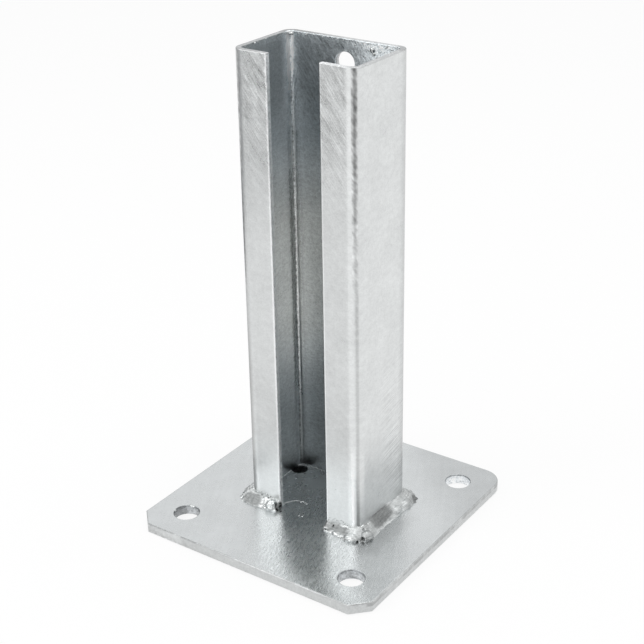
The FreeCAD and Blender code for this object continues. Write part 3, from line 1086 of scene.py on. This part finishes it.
def channel_inside_zinc():
    material, tree = metal("hot_dip_zinc_inside")
    own_map, from_edge, height, right_half, _ = sheet_places(tree)
    share = add_node(
        tree, "ShaderNodeMapRange", {"Value": height, "From Min": channel_low.z, "From Max": channel_high.z}
    ).outputs[0]
    half_painted_shade = ramp(share, [(place, (tone / 2, tone / 2, tone / 2, 1)) for place, tone in inside_painted_shade])
    tint = ramp(share, [(place, linear(colour)) for place, colour in inside_tints])
    near_top = fade(height, 190, 250)
    below_top = fade(height, 235, 200)
    crease = band(from_edge, 56.5, 67.5, 2.0)
    # The back left fold's line: a painted highlight near its top, and painted shade in bands at its sides.
    crease_top = product(band(from_edge, 57.2, 66.0, 2.6), (height, 225, 255))
    crease_line = band(from_edge, 60.9, 62.9, 0.4)
    curdled = product(crease, (height, 150, 220))
    left_shade = product((from_edge, 54.5, 59.5), (from_edge, 61.7, 60.9))
    right_shade = product((from_edge, 62.2, 62.9), (from_edge, 69, 64.5))
    on_back = product(right_half, (from_edge, 66, 70))
    spotted = product(on_back, (from_edge, 98, 74), (height, 232, 256))
    streaked = product(near_top, (from_edge, 64, 70))
    under_rim = fade(height, rim - 5.5, rim - 1.5)
    cloud = pattern(own_map, 12, 20)
    mottle = pattern(own_map, 2.6, 2.0, shift=0.4)
    grain = pattern(own_map, 0.9, 0.9, shift=0.6)
    dashes = pattern(own_map, 4.0, 2.2, 0, 0.5, 3.0)
    flecks = pattern(own_map, 2.4, 0.8, 75, 0.9, 3.0)
    streaks = pattern(own_map, 7, 1.2, -55, 0.1, 3.0)
    curdles = pattern(own_map, 5, 1.0, 82, 0.8)
    speckle = pattern(own_map, 1.3, 1.0, 20, 0.3, 3.0)
    tone = blend_of(1.0, (
        (0.45, cloud), (0.70, mottle), (0.70, grain), (1.2, streaks, streaked), (0.5, curdles, crease),
        (1.0, curdles, curdled), (2.0, flecks, crease_top), (2.6, dashes, crease_line),
        (1.2, speckle, spotted), (1.0, speckle, under_rim),
    ))
    # Painted shade and highlight on the inside: darker near the top of the walls left of the back fold,
    # a painted highlight at the top of that line and painted shade on it further down, lighter under
    # painted shade in the bands beside the fold's line, less near the foot and top of the left band,
    # the rim and on the speckled patch, and painted shade along the rim's inner edge.
    level = leveled(raised(0.0, ((2.0, half_painted_shade),)), (
        (0.75, crease_top), (-0.33, near_top, (from_edge, 57, 52)),
        (-0.15, (height, 150, 185), (from_edge, 60, 56)),
        (-0.22, left_shade, (height, 195, 165), (height, 50, 90)), (0.45, left_shade, (height, 100, 50)),
        (0.32, left_shade, (height, 170, 200)), (-0.34, right_shade, below_top),
        (-0.18, crease_line, below_top), (-0.30, crease_line, (height, 70, 30)), (0.03, on_back),
        (0.22, spotted), (0.18, under_rim), (-0.25, (height, rim - 0.9, rim - 0.4)),
    ))
    roughness = raised(blend_of(0.34, ((0.2, cloud), (0.15, mottle))), (
        (-0.15, crease, (height, 210, 170)), (0.12, crease_top), (0.2, crease, (height, 80, 30)),
    ))
    relief = blend_of(0.5, (
        (0.6, grain), (1.0, mottle), (1.0, streaks, streaked), (0.5, curdles, crease),
        (1.2, curdles, curdled), (1.3, speckle, spotted), (0.9, speckle, under_rim),
    ))
    finish_zinc(tree, tint, product(tone, level), roughness, relief, 0.12)
    return material

# %% [markdown]
# The ends of the sheet were cut, so they are rough under the zinc and look matt. Their tone is
# raised as a painted highlight, for the light that they take from all sides. The rim at the top is
# darker, most at its left, right and back, and the wall of the screw hole has painted shade.

# %% Zinc on the cut ends of the sheet
def sawn_edge_zinc():
    material, tree = metal("hot_dip_zinc_sheet_end")
    place, across, back, up = object_places(tree)
    on_rim = fade(up, rim - 1.2, rim - 0.4)
    mottle = pattern(place, 2.4, 2.4)
    grain = pattern(place, 0.9, 0.9, shift=0.4)
    # Painted highlight: the tone starts at 1.3. The rim is darker, and the screw hole's wall has painted
    # shade.
    tone = leveled(blend_of(1.3, ((0.8, mottle), (0.9, grain))), (
        (-0.22, on_rim), (-0.36, on_rim, (across, 10, -30)), (-0.27, on_rim, (across, 31, 35)),
        (-0.20, on_rim, (back, 14, 19)), (-0.38, (back, 19, 20), (up, 258.5, 257.5)),
    ))
    roughness = blend_of(0.55, ((0.3, mottle),))
    relief = blend_of(0.5, ((1.0, grain), (2.0, mottle)))
    finish_zinc(tree, "#dcdedf", tone, roughness, relief, 0.2)
    return material


for index, material in enumerate((channel_outside_zinc(), channel_inside_zinc(), sawn_edge_zinc())):
    channel.data.materials[index] = material
channel.data.shade_smooth()
print("channel finishes:", [material.name for material in channel.data.materials])

# %% [markdown]
# The plate is sheet steel from a roll, so under the zinc it has two crossing sets of very fine
# roll marks, and a frost of crystals between them. Real roll marks are finer than half a
# millimetre and wouldn't show, so they are drawn that coarse. They hardly change its tone, but they
# break up what it mirrors. Its front edge rolls over a little, which bends the mirror image. Its
# top is painted darker towards the back right corner and beside the right bead's toe, as painted
# shade. The cut edges and the drilled holes took the zinc less evenly, so they have a finish of
# their own, a little darker, with a darker line near the top that breaks off here and there. The
# walls of the two right holes are painted lighter, as painted light.

# %% Zinc on the plate
def plate_top_zinc():
    material, tree = metal("hot_dip_zinc_plate")
    place, across, back, _ = object_places(tree)
    cloud = pattern(place, 22, 12, 30)
    mottle = pattern(place, 2.6, 2.6, shift=0.2)
    grain = pattern(place, 0.6, 0.6, shift=0.5, detail=0.0)
    first_marks = pattern(place, 4, 0.5, 105, 0.1, 0.0)
    second_marks = pattern(place, 4, 0.5, -43, 0.3, 0.0)
    runs = pattern(place, 30, 2.2, 118, 0.6)
    frost = pattern(place, 3.0, 0.75, 120, 0.7)
    long_marks = pattern(place, 9, 1.0, 100, 0.9)
    rolled = fade(across, -14, 6)
    to_edge = add_node(
        tree, "ShaderNodeMapRange",
        {"Value": back, "From Min": plate_low.y + 14 * MM, "From Max": plate_low.y},
    ).outputs[0]
    corner_way = add_node(tree, "ShaderNodeMath", (across, back), operation="ADD").outputs[0]
    # Painted shade on the plate beside the right bead's toe.
    painted_shade_by_bead = product((across, 59, 48), (across, 40, 44), (back, 16, -4), (back, -38, -28))
    tone = blend_of(1.0, ((0.16, cloud), (0.09, mottle), (0.09, grain), (0.11, runs)))
    # Painted shade: darker towards the back right corner, and beside the right bead's toe.
    tone = leveled(tone, ((-0.15, (corner_way, 70, 110)), (-0.22, painted_shade_by_bead)))
    roughness = blend_of(0.28, (
        (0.15, cloud), (0.1, mottle), (0.44, frost, rolled), (0.4, long_marks, rolled),
    ))
    relief = blend_of(0.5, (
        (0.25, frost, rolled), (0.3, grain), (0.4, first_marks, rolled), (0.4, second_marks, rolled),
        (0.2, mottle), (1.0, cloud), (-6.0, product(to_edge, to_edge)),
    ))
    finish_zinc(tree, "#cfd2d3", tone, roughness, relief, 0.08)
    return material


def cut_edge_zinc(name, colour, swing, in_hole=False):
    """The zinc on a cut face, with coarser mottling, a darker broken line near the top and lighter at the
    left. In a hole, the walls of the right holes get painted light, and the left end of the front left hole
    is darker.
    """
    material, tree = metal(name)
    place, across, back, up = object_places(tree)
    mottle = pattern(place, 3.0, 3.0)
    grain = pattern(place, 1.0, 1.0, shift=0.4)
    breaks = fade(pattern(place, 9.0, 9.0, shift=0.8), 0.34, 0.56, unit=1)
    right_edge = plate_high.x / MM
    # A darker broken line near the top of the edges, and lighter edges at the left.
    levels = [
        (-0.28, band(up, 3.2, 5.6, 0.7), (across, right_edge - 2.5, right_edge - 1.5), breaks),
        (-0.16, (up, 4.9, 5.4), breaks), (0.22, (across, -40, -46)),
    ]
    # Painted light on the walls of the two right holes; the left end of the front left hole is darker.
    if in_hole:
        wall = fade(up, 5.6, 5.0)
        levels += [
            (1.1, wall, (across, 30, 40), (back, 30, 40)),
            (0.22, wall, (across, 30, 40), (back, -30, -40)),
            (-0.38, (across, -58, -61), (back, -30, -40)),
        ]
    tone = leveled(blend_of(1.0, ((swing, mottle), (swing, grain))), levels)
    roughness = blend_of(0.38, ((0.2, mottle),))
    relief = blend_of(0.5, ((0.6, grain), (1.2, mottle)))
    finish_zinc(tree, colour, tone, roughness, relief, 0.15)
    return material


plate_finishes = {
    "top": plate_top_zinc(),
    "edge": cut_edge_zinc("hot_dip_zinc_cut_edge", "#cdcfcf", 0.35),
    "arris": cut_edge_zinc("hot_dip_zinc_arris", "#b4b7b7", 0.7),
    "hole": cut_edge_zinc("hot_dip_zinc_hole_wall", "#b0b3b5", 1.5, in_hole=True),
}


def dress(piece, *materials):
    piece.data.materials.clear()
    for material in materials:
        piece.data.materials.append(material)


def finish_of_face(face):
    """Which finish a face of the plate has, from where it is and which way it faces."""
    upright = abs(face.normal.z)
    if upright > 0.98:
        return "top"
    from_anchor = Vector((abs(face.center.x) - anchor_x, abs(face.center.y) - anchor_y)).length
    from_drain = (face.center.xy - drain_hole_centre).length
    wall_reach = plate_arris + 0.1 * MM
    if from_anchor < anchor_radius + wall_reach or from_drain < drain_hole_radius + wall_reach:
        return "hole"
    return "edge" if upright < 0.6 else "arris"


names = list(plate_finishes)
dress(plate, *plate_finishes.values())
for face in plate.data.polygons:
    finish_here = finish_of_face(face)
    face.material_index = names.index(finish_here)
    face.use_smooth = finish_here != "top"
print("plate finishes:", names)

# %% [markdown]
# The weld beads are steel puddles under the same zinc. They are shinier where the zinc ran off
# the ripples, dull and grey on the flat patches, and painted black in the pits as shade. A few spots
# get a painted highlight, and the zinc of this finish is painted darker at the right bead's corner
# and towards the back, as painted shade. Ribbons of tone and bump run along each bead on its own
# map, as the metal did when it froze. The drops share this finish.

# %% Zinc on the beads
def bead_zinc():
    material, tree = metal("hot_dip_zinc_weld")
    place, across, back, up = object_places(tree)
    bead_map = add_node(tree, "ShaderNodeAttribute", attribute_name="bead_map").outputs["Vector"]
    # Shares from the beads: dull patches, painted shade in the pits, painted highlight spots, and calm zinc.
    dull, pit_shade, painted_highlight, calm = (
        add_node(tree, "ShaderNodeAttribute", attribute_name=name).outputs["Fac"]
        for name in ("dull", "pit_shade", "painted_highlight", "calm")
    )
    lively = raised(1.0, ((-0.35, calm),))
    mottle = pattern(place, 3.0, 3.0)
    grain = pattern(place, 0.9, 0.9, shift=0.4)
    speckle = pattern(place, 1.3, 1.3, shift=0.9)
    ribbons = pattern(bead_map, 9.0, 1.1, 8, 0.2, 3.0)
    threads = pattern(bead_map, 5.0, 0.6, -6, 0.5)
    tone = blend_of(1.0, (
        (0.4, mottle), (0.4, grain), (0.9, ribbons, lively), (0.9, threads, lively), (0.7, speckle, dull),
    ))
    # Painted shade: darker at the right bead's folded corner and towards the back, and black in the pits; a
    # little painted highlight on its spots.
    tone = leveled(tone, (
        (-0.56, dull), (-0.28, dull, (up, 12.0, 12.8)), (0.35, dull, (across, -18, -24)),
        (0.40, dull, (back, -21, -23.5), (across, 0, 5)), (-0.26, (across, 36.5, 39), (back, -12, -18)),
        (-0.22, (back, 10, 18)), (0.06, painted_highlight), (-0.94, pit_shade),
    ))
    roughness = blend_of(0.42, ((0.3, mottle), (0.1, dull), (0.28, calm)))
    relief = blend_of(0.5, (
        (0.4, grain), (0.6, mottle), (0.8, ribbons, lively), (0.6, threads, lively), (0.5, speckle, dull),
    ))
    finish_zinc(tree, "#cdd0d0", tone, roughness, relief, 0.09)
    return material


weld_zinc = bead_zinc()
for piece in (right_bead, left_bead, *drop_pieces):
    dress(piece, weld_zinc)
